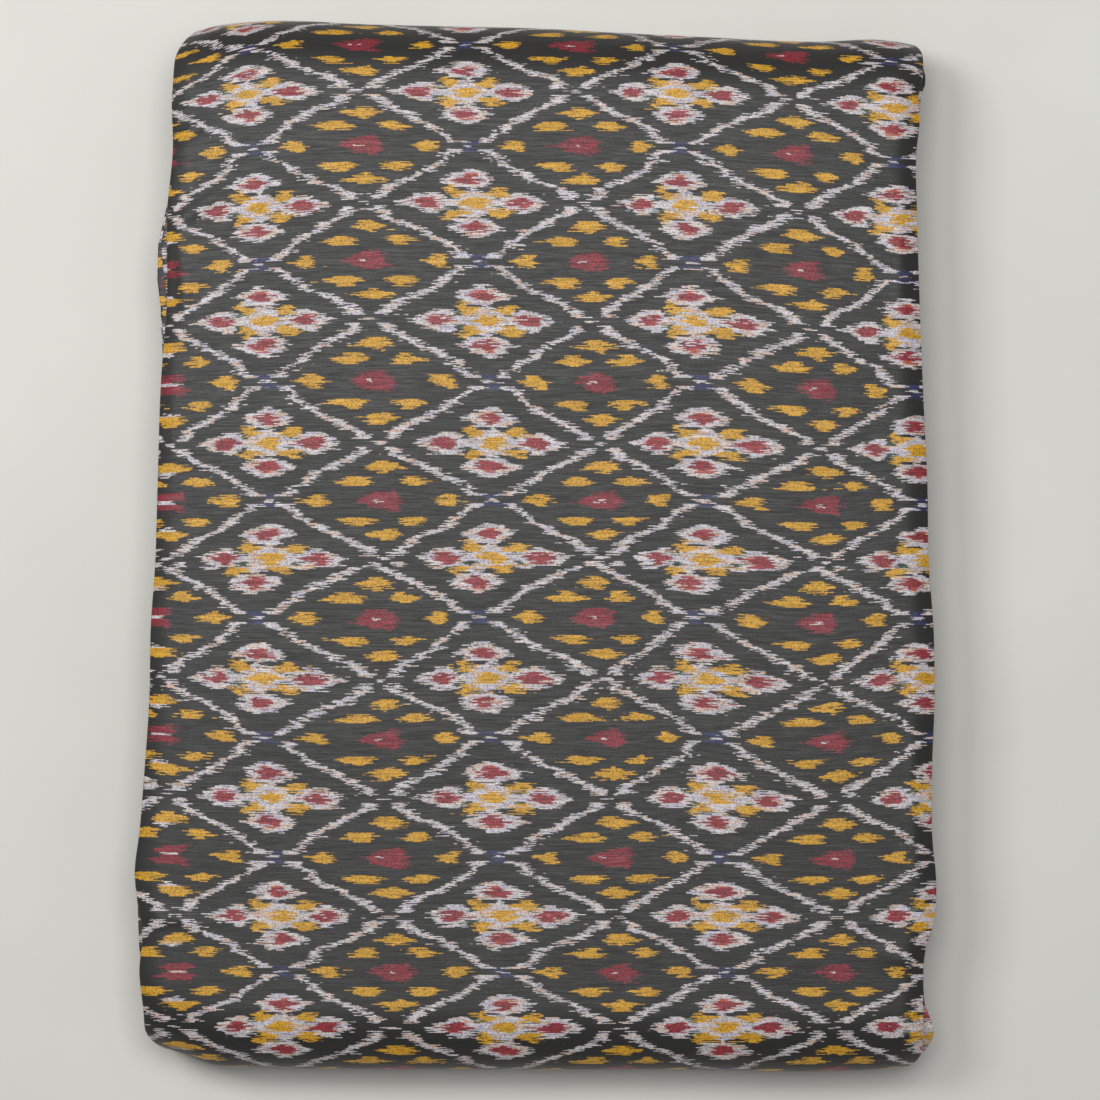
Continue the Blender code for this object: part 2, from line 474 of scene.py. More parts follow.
    def dyed(self, add: Adder, place: Socket, from_middle: Socket) -> Socket:
        """Adds the dyed pattern.

        Args:
            add: Adds a node.
            place: Place along the dyed weft.
            from_middle: Rows from a flower's middle.

        Returns:
            The dye's colour.
        """
        halves = add(MATH, (from_middle, 2.0), operation="MULTIPLY")
        mirrored = add(MATH, (halves, 2.0 * self.rows), operation="PINGPONG")
        row = add(MATH, (mirrored,), operation="ROUND")
        from_flower = add(MATH, (place, self.flower_column - self.repeat_across / 2), operation="SUBTRACT")
        repeats = add(MATH, (from_flower, self.repeat_across), operation="DIVIDE")
        share = add(MATH, (repeats,), operation="FRACT")
        low, high = self.edge_column
        at_edge = add(MATH, (place, (low + high) / 2, (high - low) / 2), operation="COMPARE")
        colour = None
        charts = zip(self.half_rows(SEED_CELL), self.half_rows(SEED_CELL | EDGE_SEED_CELL))
        for number, (dyes, edge_dyes) in enumerate(charts):
            found = self.row_ramp(add, share, dyes)
            if (dyes != edge_dyes).any():
                other = self.row_ramp(add, share, edge_dyes)
                found = add(MIX, {0: at_edge, 6: found, 7: other}, 2, data_type="RGBA")
            if colour is not None:
                here = add(MATH, (row, float(number), 0.5), operation="COMPARE")
                found = add(MIX, {0: here, 6: colour, 7: found}, 2, data_type="RGBA")
            colour = found
        return colour

    def crossed_by_warp(
        self, add: Adder, colour: Socket, across: Socket, pick: Socket
    ) -> tuple[Socket, Socket]:
        """Adds the tints of the white, and the black warp, which shows as dots where it passes over the weft.

        Args:
            add: Adds a node.
            colour: The weft's colour.
            across: Place along the weft.
            pick: The number of the pick.

        Returns:
            The colour with the warp, and how much of the warp shows.
        """
        light = add("ShaderNodeRGBToBW", (colour,))
        pale = add(MAP_RANGE, (light, *self.tinted_light, 0.0, 1.0))
        clouds = self.on_threads(add, across, self.tint_reach, pick, self.tint_unlike, 2.0)
        for tint, begins, full in self.tints:
            amount = add(MAP_RANGE, (clouds, begins, full, 0.0, self.tint_most))
            seen = add(MATH, (amount, pale), operation="MULTIPLY")
            colour = add(MIX, {0: seen, 6: colour, 7: linear_colour(tint)}, 2, data_type="RGBA")
        shown = self.on_threads(add, across, self.warp_spacing, pick, self.unlike)
        most = add(MAP_RANGE, (light, *self.warp_light, *self.warp_dots[::-1]))
        dots = add(MAP_RANGE, (shown, *self.warp_shows, 0.0, most))
        black = linear_colour(self.warp_black)
        return add(MIX, {0: dots, 6: colour, 7: black}, 2, data_type="RGBA"), dots


@dataclass(frozen=True)
class PlainFloor:
    """A plain pale surface of matt paint, which gives the eye nothing but the cloth's shadow."""

    colour: str = "#d9d8d2"
    half_width: float = 1.6
    cloud_scale: float = 9.0
    cloud_range: tuple[float, float] = (0.3, 0.7)
    cloud_shade: tuple[float, float] = (0.97, 1.03)
    roughness: float = 0.9
    specular: float = 0.2

    def build(self) -> bpy.types.Object:
        """Makes the floor.

        Returns:
            The floor's object.
        """
        mesh = bpy.data.meshes.new("floor")
        far = self.half_width
        corners = [(-far, -far, 0.0), (far, -far, 0.0), (far, far, 0.0), (-far, far, 0.0)]
        mesh.from_pydata(corners, [], [(0, 1, 2, 3)])
        material, add, shader = new_material("pale_matt_paint")
        place = add("ShaderNodeTexCoord", out="Object")
        clouds = add(NOISE, {"Vector": place, "Scale": self.cloud_scale, "Detail": 3.0})
        tone = add(MAP_RANGE, (clouds, *self.cloud_range, *self.cloud_shade))
        paint = {0: 1.0, 6: linear_colour(self.colour), 7: tone}
        colour = add(MIX, paint, 2, data_type="RGBA", blend_type="MULTIPLY")
        plug(shader, {"Base Color": colour, "Roughness": self.roughness, "Specular IOR Level": self.specular})
        mesh.materials.append(material)
        floor = bpy.data.objects.new("floor", mesh)
        bpy.context.scene.collection.objects.link(floor)
        return floor


@dataclass
class Sheet:
    """A stretch of the cloth as a grid: rows of points along the warp, each from fold to fold."""

    points: Array
    weave: Array
    bake: Array
    loose: Array
    flat: Array

    @property
    def area(self) -> float:
        """Its area when it is laid out flat, in square metres."""
        first, second = self.flat[1:, 1:] - self.flat[:-1, :-1], self.flat[1:, :-1] - self.flat[:-1, 1:]
        return float(np.abs(first[..., 0] * second[..., 1] - first[..., 1] * second[..., 0]).sum() / 2)


def mesh_of(name: str, sheets: list[Sheet], middle: Array) -> bpy.types.Object:
    """Makes one mesh of one or more stretches of cloth.

    Args:
        name: The piece's name.
        sheets: The stretches.
        middle: The point that goes to the origin, in millimetres.

    Returns:
        The piece, with its weave and bake maps and how loose each point is.
    """
    faces, before = [], 0
    for sheet in sheets:
        rows, columns = sheet.loose.shape
        numbers = before + np.arange(rows * columns).reshape(rows, columns)
        around = (numbers[:-1, :-1], numbers[:-1, 1:], numbers[1:, 1:], numbers[1:, :-1])
        faces.append(np.stack(around, axis=-1).reshape(-1, 4))
        before += rows * columns
    corners = np.concatenate(faces)
    points = np.concatenate([(sheet.points.reshape(-1, 3) - middle) * MM for sheet in sheets])
    mesh = bpy.data.meshes.new(name)
    mesh.from_pydata(points.tolist(), [], corners.tolist())
    for map_name, parts in (
        (WEAVE_MAP, [sheet.weave for sheet in sheets]),
        (BAKE_MAP, [sheet.bake for sheet in sheets]),
    ):
        places = np.concatenate([part.reshape(-1, 2) for part in parts])[corners.reshape(-1)]
        mesh.uv_layers.new(name=map_name).data.foreach_set("uv", places.astype(np.float32).reshape(-1))
    loose = np.concatenate([sheet.loose.reshape(-1) for sheet in sheets])
    mesh.attributes.new(LOOSE, "FLOAT", "POINT").data.foreach_set("value", loose.astype(np.float32))
    mesh.shade_smooth()
    piece = bpy.data.objects.new(name, mesh)
    bpy.context.scene.collection.objects.link(piece)
    return piece


@dataclass(frozen=True)
class Relief:
    """The slight puckers of cloth that was folded by hand, laid over the face by Geometry Nodes."""

    pucker_height: float = 0.55
    pucker_size: float = 34.0
    ripple_height: float = 0.16
    ripple_size: float = 9.0
    seed: float = 4.0

    @property
    def inputs(self) -> dict[str, float]:
        """The tree's inputs by name, with the sizes in metres."""
        pucker = {"Pucker Height": self.pucker_height * MM, "Pucker Size": self.pucker_size * MM}
        ripple = {"Ripple Height": self.ripple_height * MM, "Ripple Size": self.ripple_size * MM}
        return pucker | ripple | {"Seed": self.seed}

    def tree(self) -> bpy.types.NodeTree:
        """Builds the tree: two scales of noise lift the face outwards where it is loose.

        Returns:
            The Geometry Nodes tree.
        """
        tree = bpy.data.node_groups.new("cloth_relief", "GeometryNodeTree")
        tree.interface.new_socket("Cloth", in_out="INPUT", socket_type="NodeSocketGeometry")
        for name in self.inputs:
            tree.interface.new_socket(name, in_out="INPUT", socket_type="NodeSocketFloat")
        tree.interface.new_socket("Material", in_out="INPUT", socket_type="NodeSocketMaterial")
        tree.interface.new_socket("Cloth", in_out="OUTPUT", socket_type="NodeSocketGeometry")
        add = partial(add_node, tree)
        given = add("NodeGroupInput").node.outputs
        place = add("GeometryNodeInputPosition")
        lifts = []
        for kind in ("Pucker", "Ripple"):
            scale = add(MATH, (1.0, given[f"{kind} Size"]), operation="DIVIDE")
            waves = {"Vector": place, "W": given["Seed"], "Scale": scale, "Detail": 1.0}
            noise = add(NOISE, waves, noise_dimensions="4D")
            lifts.append(add(MATH, (noise, given[f"{kind} Height"]), operation="MULTIPLY"))
        both = add(MATH, lifts, operation="ADD")
        loose = add("GeometryNodeInputNamedAttribute", {"Name": LOOSE}, data_type="FLOAT")
        lift = add(MATH, (both, loose), operation="MULTIPLY")
        normal = add("GeometryNodeInputNormal")
        offset = add("ShaderNodeVectorMath", {0: normal, "Scale": lift}, operation="SCALE")
        moved = add("GeometryNodeSetPosition", {"Geometry": given["Cloth"], "Offset": offset})
        real = add("GeometryNodeRealizeInstances", (moved,))
        dressed = add("GeometryNodeSetMaterial", {"Geometry": real, "Material": given["Material"]})
        add("NodeGroupOutput", (dressed,))
        return tree

    def lay_over(self, piece: bpy.types.Object, material: bpy.types.Material, thickness: float) -> None:
        """Puckers a piece, dresses it and gives it its thickness, and leaves a plain mesh.

        Args:
            piece: The piece, as a sheet with no thickness.
            material: What it is dressed in.
            thickness: The cloth's thickness, in metres.
        """
        puckers = piece.modifiers.new("relief", "NODES")
        puckers.node_group = self.tree()
        values = self.inputs | {"Material": material}
        for socket in puckers.node_group.interface.items_tree:
            if socket.in_out == "INPUT" and socket.name in values:
                puckers[socket.identifier] = values[socket.name]
        solid = piece.modifiers.new("thickness", "SOLIDIFY")
        solid.thickness = thickness
        solid.offset = 0.0
        seen = bpy.context.evaluated_depsgraph_get()
        finished = bpy.data.meshes.new_from_object(
            piece.evaluated_get(seen), preserve_all_data_layers=True, depsgraph=seen
        )
        piece.modifiers.clear()
        piece.data = finished
        finished.name = piece.name
        finished.attributes.remove(finished.attributes[LOOSE])


@dataclass(frozen=True)
class Crease:
    """A soft ridge in the face of the cloth, in millimetres and degrees from the weft."""

    across: float
    along: float
    heading: float
    half_length: float
    half_width: float
    height: float

    def lift(self, across: Array, along: Array) -> Array:
        """How far the ridge lifts the face.

        Args:
            across: Places across the strip.
            along: Places along the bolt.

        Returns:
            The lift at each place, in millimetres.
        """
        turned = math.radians(self.heading)
        x, y = across - self.across, along - self.along
        on = (x * math.cos(turned) + y * math.sin(turned)) / self.half_length
        off = (y * math.cos(turned) - x * math.sin(turned)) / self.half_width
        return self.height * np.exp(-(on**2) - off**2)


@dataclass
class Bolt:
    """The cloth in its folds and turns. Lengths in millimetres, before the bolt is centred on the origin."""

    bolt_length: float = 386.0
    bolt_height: float = 37.8
    turns: int = 13
    end_stretch: float = 0.3
    core_start: float = 22.0
    tail_gap: float = 12.0

    # One ply of cloth, and where the four plies lie in the strip, from its outer face inwards
    cloth_thickness: float = 0.3
    plies: tuple[float, ...] = (0.55, 0.11, -0.21, -0.54)
    tuck: float = 8.0

    # The inner plies stop short: the inner fold by this much, the selvedges by this much for each ply in
    inner_short: float = 0.1
    selvedge_short: float = 0.8

    # Grid steps: along and across the face, along and across what is hidden, round a bend and round a fold
    face_step: float = 2.05
    hidden_step: float = 14.0
    hidden_columns: int = 7
    face_bend_steps: int = 26
    hidden_bend_steps: tuple[int, int] = (8, 16)
    fold_steps: int = 6

    # How far columns crowd towards the folds: on the face from 0 to 1, and in what is hidden from 1 down
    face_crowding: float = 0.35
    hidden_crowding: float = 0.6

    # The bake map: the widest step that counts in full, and the free margin of each stretch
    baked_step: float = 9.0
    bake_margin: float = 0.002

    # The fold edges of the outer turn: place along the bolt, left edge, right edge
    fold_edges: Rows = (
        (-191, -143.2, 141.2), (-180, -143.2, 141.2), (-165, -144.6, 141.1), (-151, -143.5, 141.8),
        (-140, -145.2, 145), (-127, -146.4, 146), (-108, -144.7, 144.6), (-85, -143.1, 144.5),
        (-55, -141.2, 145.6), (-30, -140.8, 145.2), (-8, -139.3, 143.6), (20, -138.5, 143.2),
        (60, -137.3, 141.5), (90, -135.2, 140.5), (126, -135.2, 139.6), (150, -133.2, 139.4),
        (168, -133.6, 140.6), (171.5, -133.4, 140), (178, -133.2, 141.8), (191, -133.4, 142.6),
    )

    # The bolt's corners: side, end, how far the fold edge draws in, how far from the end that starts
    corners: Rows = ((-1, 1, 11, 13), (1, 1, 6, 6), (-1, -1, 11, 8), (1, -1, 8, 7))

    # How far each end falls back across the strip: place across, at the far end, at the near end
    end_drops: Rows = (
        (-147, 7.4, 9.5), (-132, 4.1, 6.8), (-118, 0.6, 2), (-103, -0.9, 1.4), (-60, 0.3, 0.7),
        (0, 1.8, 0.5), (57, 4.7, 0.4), (104, 6.6, -0.2), (128, 5.9, 0.6), (146, 8.4, 2.2),
    )
    drop_starts: float = 75.0
    drop_full: float = 160.0

    # Runs whose fold edge slips out past the outer turn: run, side, place along, reach, how far out
    slipped_folds: Rows = (
        (22, -1, 110, 20, 4.2), (20, -1, 104, 26, 5.8), (18, -1, 92, 22, 3.8),
        (20, 1, 178, 9, 2.2), (20, 1, -181, 9, 4.6), (19, 1, -181, 9, 3.6),
        (16, -1, -150, 14, 3.2), (14, -1, -146, 12, 2.4),
    )

    # The other fold edges lie a little inside the outer turn's, each by its own amount, in waves
    layer_inset: float = 1.4
    layer_swing: float = 0.9
    swing_step: float = 2.4
    wave_depth: float = 0.6
    wave_length: float = 170.0

    # The stack is pressed thinner towards its fold edges, and its top rolls over towards them
    edge_settle: float = 0.05
    settle_power: int = 4
    half_width: float = 145.0
    shoulder_drop: float = 2.2
    shoulder_width: float = 9.0

    # Where the rows of flowers lie on the face, and how far the weft sags at places across it
    flower_rows: tuple[float, ...] = (-176.2, -135.8, -92.6, -49, -5.2, 37, 81.7, 124.1, 165.9, 201.5)
    first_row: int = -4
    sag_columns: tuple[float, ...] = (-140, -101, -62, -20, 18, 56, 96, 133)
    sag_rows: Rows = (
        (-176, 0, -0.4, 0, 0, 0.2, 0, 0, 0),
        (-135, -0.4, -0.2, 0.2, -0.1, 0.3, -0.1, 0.5, 0),
        (-92, -1.8, -0.1, 0.6, -0.1, 0.5, -0.1, 1.7, 0.1),
        (-48, -0.7, 0.2, 1.1, 0, 0.4, 0.1, 2.6, 0.3),
        (-5, 0.7, 0.4, 0.6, 0, 0.2, 0.4, 2.2, 1.1),
        (38, 1.5, 0.4, 0.3, 0.3, 0.8, 0.3, 2.5, 2.9),
        (82, 2.2, 0.4, -0.5, 0.3, 0.7, 0.4, 3.3, 5.1),
        (124, 4.4, 1.6, -0.6, -0.4, -0.2, 0.6, 2.8, 5.6),
        (165, 7.3, 0.6, 0, 0.6, 0.3, 1, 3.8, 6.4),
        (181, 14, 1.6, 0.5, 0.4, 0.5, 1.2, 4.4, 6.8),
    )

    # How far the columns of motifs lean off the straight warp, at the same places across the face
    lean_rows: Rows = (
        (-176, 13, 12.3, 12, 13.5, 15.2, 13.4, 15, 11.5),
        (-135, 12, 11, 11.1, 11.5, 13.9, 13.1, 15.5, 13.7),
        (-92, 8.9, 7.1, 8.8, 9.3, 12.1, 11.2, 14.3, 13.5),
        (-48, 6.1, 3.7, 7.5, 6.4, 9.2, 6.6, 11, 7.5),
        (-5, 3.9, 0.8, 3.2, 2.9, 4, 1.5, 6.1, 3.1),
        (38, 4.6, 1.1, 0.5, 2.8, 2.7, 0.6, 4.5, -0.6),
        (82, 3.2, -1.5, -2.2, 0.7, -0.4, -2.6, 0.2, -3.5),
        (124, 1.9, -3.6, -4.4, -3.6, -3.8, -5.7, -4.5, -7.1),
        (165, -1.9, -8, -6.6, -6.9, -6.8, -8.8, -7.3, -9.1),
    )

    creases: tuple[Crease, ...] = (
        Crease(-128, 153, 27, 10, 2.4, 1.2), Crease(-123.5, 124, 30, 12, 2.4, 1.2),
        Crease(-102, 125, 36, 14, 2.6, 1.1), Crease(-129, 96, 96, 17, 2, 0.8),
        Crease(-133.5, 60, 92, 22, 1.8, 0.35), Crease(131, 168, -16, 9, 2.4, 1.2),
        Crease(134, 96, 87, 30, 2.4, 0.35), Crease(-134, -143, 12, 10, 2.4, 1.2),
        Crease(-137, -118, 84, 14, 1.8, 0.4), Crease(133, -152, -18, 9, 2.4, 1.1),
        Crease(138, -95, 92, 24, 2, 0.35), Crease(-96, -3, 3, 36, 1.6, 0.22),
        Crease(40, 60, 4, 60, 9, 0.25), Crease(-30, -70, -3, 70, 11, 0.25),
    )

    # The creases and puckers fade this many times faster than the height falls from top to bottom
    relief_fade: float = 3.0

    @property
    def pitch(self) -> float:
        """How far apart two strips of the stack lie."""
        return self.bolt_height / (2 * self.turns)

    @property
    def last_run(self) -> int:
        """The run that lies on the floor. Even runs lie above the middle and odd ones below."""
        return 2 * self.turns - 1

    @property
    def outer_bend(self) -> float:
        """Half the height of the outermost end bend."""
        return (self.turns - 0.5) * self.pitch

    def bend_reach(self, half_height: float) -> float:
        """How far an end bend of this half height goes past the straight runs."""
        return half_height * (1 + self.end_stretch * half_height / self.outer_bend)

    def straight_end(self, end: int) -> float:
        """Where the straight runs stop at the far end (1) and the near end (-1)."""
        half_height = self.outer_bend if end > 0 else self.outer_bend - self.pitch / 2
        return self.bolt_length / 2 - self.pitch / 2 - self.bend_reach(half_height)

    def run_height(self, run: int) -> float:
        """Height of a run's middle over the bolt's middle."""
        height = (run // 2 + 0.5) * self.pitch
        return height if run % 2 == 0 else -height

    def run_stations(self, run: int, step: float) -> Array:
        """Places along one straight run, in winding order.

        Args:
            run: The run, counted from the core outwards.
            step: About how far apart the places are.

        Returns:
            A row for each place: along, height, the outward normal's two parts, and run.
        """
        heading = 1 if run % 2 == 0 else -1
        start, stop = -heading * self.straight_end(-heading), heading * self.straight_end(heading)
        start += self.core_start if run == 0 else 0.0
        stop += self.tail_gap if run == self.last_run else 0.0
        places = np.linspace(start, stop, 1 + round(abs(stop - start) / step))
        return np.stack(np.broadcast_arrays(places, self.run_height(run), 0, heading, run), axis=1)

    def bend_stations(self, run: int, steps: int) -> Array:
        """Places round the end bend after a run, without its two ends.

        Args:
            run: The run before the bend.
            steps: Into how many steps the bend is cut.

        Returns:
            A row for each place, as for a run.
        """
        end = 1 if run % 2 == 0 else -1
        first, last = self.run_height(run), self.run_height(run + 1)
        middle, half_height = (first + last) / 2, abs(first - last) / 2
        reach = self.bend_reach(half_height)
        share = np.arange(1, steps) / steps
        out, up = np.sin(math.pi * share), end * np.cos(math.pi * share)
        normal = np.stack([end * out * half_height, up * reach])
        normal /= np.linalg.norm(normal, axis=0)
        along = end * (self.straight_end(end) + reach * out)
        return np.stack([along, middle + half_height * up, *normal, run + share], axis=1)

    def bend_steps(self, run: int) -> int:
        """Into how many steps a hidden bend is cut, more where it is large."""
        least, most = self.hidden_bend_steps
        return round(least + (most - least) * run / self.last_run)

    def layer_place(self, side: int, along: Array, run: Array) -> Array:
        """How far one whole run's fold edge lies inside the outer turn's.

        Args:
            side: The left side (-1) or the right (1).
            along: Places along the bolt.
            run: The run at each place.

        Returns:
            The inset at each place, below 0 where the fold has slipped out.
        """
        turned = run * self.swing_step + side
        inset = self.layer_inset + self.layer_swing * np.sin(turned)
        inset += self.wave_depth * np.sin(along / self.wave_length * math.tau + turned)
        for slipped_run, slipped_side, place, reach, out in self.slipped_folds:
            if slipped_side == side:
                inset -= np.where(run == slipped_run, out * np.exp(-(((along - place) / reach) ** 2)), 0.0)
        return np.where(run == self.last_run - 1, 0.0, inset)

    def fold_edge(self, side: int, along: Array, run: Array) -> Array:
        """Where the strip's fold edge lies across the bolt. It draws in where the bolt's corner is round.

        Args:
            side: The left side (-1) or the right (1).
            along: Places along the bolt.
            run: The run at each place, with a share of one round a bend.

        Returns:
            The edge at each place.
        """
        table = np.array(self.fold_edges)
        edge = smooth_read(table[:, 0], table[:, 1 if side < 0 else 2], along)
        before = np.floor(run)
        passed = smooth_step(run - before)
        inset = (1 - passed) * self.layer_place(side, along, before)
        inset += passed * self.layer_place(side, along, before + 1)
        drawn_in = np.zeros_like(along)
        for corner_side, end, most, reach in self.corners:
            past = np.clip((along * end - (self.bolt_length / 2 - reach)) / reach, 0.0, 1.0)
            if corner_side == side:
                drawn_in += most * (1 - np.sqrt(1 - past**2))
        return edge - side * (inset + drawn_in)

    def settled(self, across: Array, along: Array, up: Array) -> Array:
        """Moves points of the even bolt to where they lie in the real one, with the floor at height 0.

        Args:
            across: Places across the strip.
            along: Places along the bolt.
            up: Heights over the bolt's middle.

        Returns:
            The points, with their three coordinates on the last axis.
        """
        lift = 1 - self.edge_settle * (across / self.half_width) ** self.settle_power
        height = (up + self.bolt_height / 2) * lift
        face_run = np.full_like(along, self.last_run - 1)
        sides = [np.abs(across - self.fold_edge(side, along, face_run)) for side in (-1, 1)]
        near_edge = np.clip(1 - np.minimum(*sides) / self.shoulder_width, 0.0, 1.0)
        over = np.clip(up / (self.bolt_height / 2), 0.0, 1.0)
        height -= self.shoulder_drop * near_edge**2 * over
        return np.stack([across, along - self.end_drop(across, along), height], axis=-1)

    def end_drop(self, across: Array, along: Array) -> Array:
        """How far each point is drawn along the bolt where the ends fall back.

        Args:
            across: Places across the strip.
            along: Places along the bolt.

        Returns:
            The shift at each place, towards the middle of the bolt.
        """
        table = np.array(self.end_drops)
        far, near = (smooth_read(table[:, 0], table[:, column], across) for column in (1, 2))
        pulled = smooth_step((np.abs(along) - self.drop_starts) / (self.drop_full - self.drop_starts))
        return np.sign(along) * pulled * np.where(along > 0, far, near)

    def face_section(self, left: Array, right: Array) -> list[Array]:
        """The outermost ply from its tuck at the left round both folds to its tuck at the right.

        Args:
            left: The left fold edge at each station.
            right: The right fold edge at each station.

        Returns:
            For each station and each point of the section: place across, off the strip's middle, and along
            the weft.
        """
        outer, second, _, inner = self.plies
        columns = round((self.half_width * 2) / self.face_step)
        crowded = (1 - np.cos(np.linspace(0, math.pi, columns))) / 2
        shares = self.face_crowding * crowded + (1 - self.face_crowding) * np.linspace(0, 1, columns)
        left_round, right_round = (outer - inner) / 2, (outer - second) / 2
        left, right = left[:, None], right[:, None]
        turned = np.linspace(-math.pi / 2, math.pi / 2, self.fold_steps + 1)[None]
        out, up = np.cos(turned), np.sin(turned)
        tuck = np.array([[self.tuck, self.tuck / 2]])
        start, stop = left + left_round, right - right_round
        face = (start + (stop - start) * shares[None])[:, 1:-1]
        left_walk, right_walk = left_round * (turned - math.pi / 2), right_round * (turned + math.pi / 2)
        return joined([
            (left + tuck + left_round, inner, start - left_round * math.pi - tuck),
            (start - left_round * out, (inner + outer) / 2 + left_round * up, start + left_walk),
            (face, outer, face),
            (stop + right_round * out, (second + outer) / 2 - right_round * up, stop + right_walk),
            (right - tuck[:, ::-1] - right_round, second, stop + right_round * math.pi + tuck[:, ::-1]),
        ])

    def hidden_section(self, left: Array, right: Array, plies: tuple[int, ...]) -> list[Array]:
        """Some plies of the strip one after the other, with the folds between them.

        Args:
            left: The left fold edge at each station.
            right: The right fold edge at each station.
            plies: The plies in the order in which the weft passes through them, outermost first as 0.

        Returns:
            As for the face.
        """
        left, right = left[:, None], right[:, None]
        outer_round = (self.plies[0] - self.plies[3]) / 2
        columns = np.linspace(0, 1, self.hidden_columns)[None]
        columns = 0.5 + 0.5 * np.sign(columns - 0.5) * np.abs(2 * columns - 1) ** self.hidden_crowding
        turned = np.linspace(0, math.pi, self.fold_steps + 1)[None, 1:-1]
        parts = []
        for ply, following in zip(plies, (*plies[1:], None)):
            rightward = ply in (0, 2)
            low = left + outer_round + (0.0 if ply in (0, 3) else self.inner_short)
            high = right - (outer_round if ply in (0, 1) else self.selvedge_short * ply)
            across = low + (high - low) * (columns if rightward else columns[:, ::-1])
            parts.append((across, self.plies[ply]))
            if following is not None:
                centre = (self.plies[ply] + self.plies[following]) / 2
                radius = (self.plies[ply] - self.plies[following]) / 2
                bulge = abs(radius) * (1 if rightward else -1)
                parts.append((across[:, -1:] + bulge * np.sin(turned), centre + radius * np.cos(turned)))
        across, off = joined(parts)
        steps = np.hypot(np.diff(across, axis=1), np.diff(off, axis=1))
        weft = np.concatenate([np.zeros_like(left), np.cumsum(steps, axis=1)], axis=1)
        begins = {3: 2 * left - across[:, :1], 0: across[:, :1], 1: 2 * right - across[:, :1]}[plies[0]]
        return [across, off, weft + begins]

    def woven_place(self, weft: Array, warp: Array) -> Array:
        """Where a point of the cloth lies in the even pattern, given how weft and columns run on the face.

        Args:
            weft: Places along the weft.
            warp: Places along the warp, as they show on the face.

        Returns:
            Both places in the even pattern, in metres, on the last axis.
        """
        def read(rows: Rows) -> Array:
            """Reads a table of the face at these places."""
            places, *columns = np.array(rows).T
            columns = [smooth_read(places, column, warp) for column in columns]
            return smooth_read(self.sag_columns, np.stack(columns), weft)

        raised = warp + read(self.sag_rows)
        repeat = IkatCotton.repeat_along
        rows = repeat * (self.first_row + np.arange(len(self.flower_rows)))
        even = smooth_read(self.flower_rows, rows, raised)
        even += raised - np.clip(raised, self.flower_rows[0], self.flower_rows[-1])
        return np.stack([weft - read(self.lean_rows), even], axis=-1) * MM

    def lay_out(self, stations: Array, section: list[Array], warp: Array, band: tuple = WHOLE_MAP) -> Sheet:
        """Places a section of the strip at each station.

        Args:
            stations: The places along the winding.
            section: Across, off the middle and along the weft, for each station and point.
            warp: Place along the warp at each station.
            band: The part of the bake map that the stretch fills: low and high share of its height.

        Returns:
            The stretch of cloth.
        """
        across, off, weft = section
        at, height, normal_y, normal_z, run = stations.T[:, :, None]
        along, up = at + normal_y * off, height + normal_z * off
        outer_face = np.abs(off - self.plies[0]) < 1e-6
        on_top = (run > self.last_run - 2) & (run < self.last_run)
        from_edge = np.minimum(across - across.min(axis=1)[:, None], across.max(axis=1)[:, None] - across)
        loose = np.where(outer_face & on_top, 1.0, 0.0) * smooth_step(from_edge / self.tuck)
        loose *= smooth_step(height / self.bolt_height * self.relief_fade + 0.5)
        ridges = sum(crease.lift(across, along) for crease in self.creases) * loose
        along, up = along + normal_y * ridges, up + normal_z * ridges
        warp = warp[:, None] + 0 * across
        weave = self.woven_place(weft, np.where(on_top, warp - self.end_drop(across, along), warp))
        steps = np.hypot(np.diff(across, axis=1), np.diff(off, axis=1)).mean(axis=0)
        most = np.inf if band == WHOLE_MAP else self.baked_step
        shares = np.concatenate([[0.0], np.cumsum(np.minimum(steps, most))])[None]
        walked = np.linspace(0, 1, len(stations))[:, None]
        bake = np.broadcast_arrays(walked, band[0] + (band[1] - band[0]) * (shares / shares.max()))
        flat = np.stack([weft, warp], axis=-1) * MM
        return Sheet(self.settled(across, along, up), weave, np.stack(bake, axis=-1), loose, flat)

    def warp_places(self, stations: Array, zero_run: int) -> Array:
        """Place along the warp at each station, which is the place along the bolt on the run that shows.

        Args:
            stations: The places along the winding.
            zero_run: A run among them on which the two agree, or whose start begins the count.

        Returns:
            One place for each station, rising in winding order.
        """
        steps = np.hypot(np.diff(stations[:, 0]), np.diff(stations[:, 1]))
        walked = np.concatenate([[0.0], np.cumsum(steps)])
        first = int(np.argmax(stations[:, 4] == zero_run))
        return walked - walked[first] + stations[first, 0]

    def edges(self, stations: Array) -> tuple[Array, Array]:
        """The left and the right fold edge at each station."""
        return tuple(self.fold_edge(side, stations[:, 0], stations[:, 4]) for side in (-1, 1))

    def outer_turn(self) -> tuple[Sheet, Array]:
        """Lays out the turn that shows, from one end bend over the face to the other.

        Returns:
            The stretch of cloth, and the place along the warp at each of its stations.
        """
        run = self.last_run - 1
        stations = np.concatenate([
            self.bend_stations(run - 1, self.face_bend_steps),
            self.run_stations(run, self.face_step),
            self.bend_stations(run, self.face_bend_steps),
        ])
        warp = self.warp_places(stations, run)
        return self.lay_out(stations, self.face_section(*self.edges(stations)), warp), warp

    def underside(self, warp_start: float) -> Sheet:
        """Lays out the run on the floor.

        Args:
            warp_start: Place along the warp where it begins.

        Returns:
            The stretch of cloth.
        """
        stations = self.run_stations(self.last_run, self.hidden_step / 2)
        warp = self.warp_places(stations, self.last_run) + warp_start - stations[0, 0]
        return self.lay_out(stations, self.face_section(*self.edges(stations)), warp)

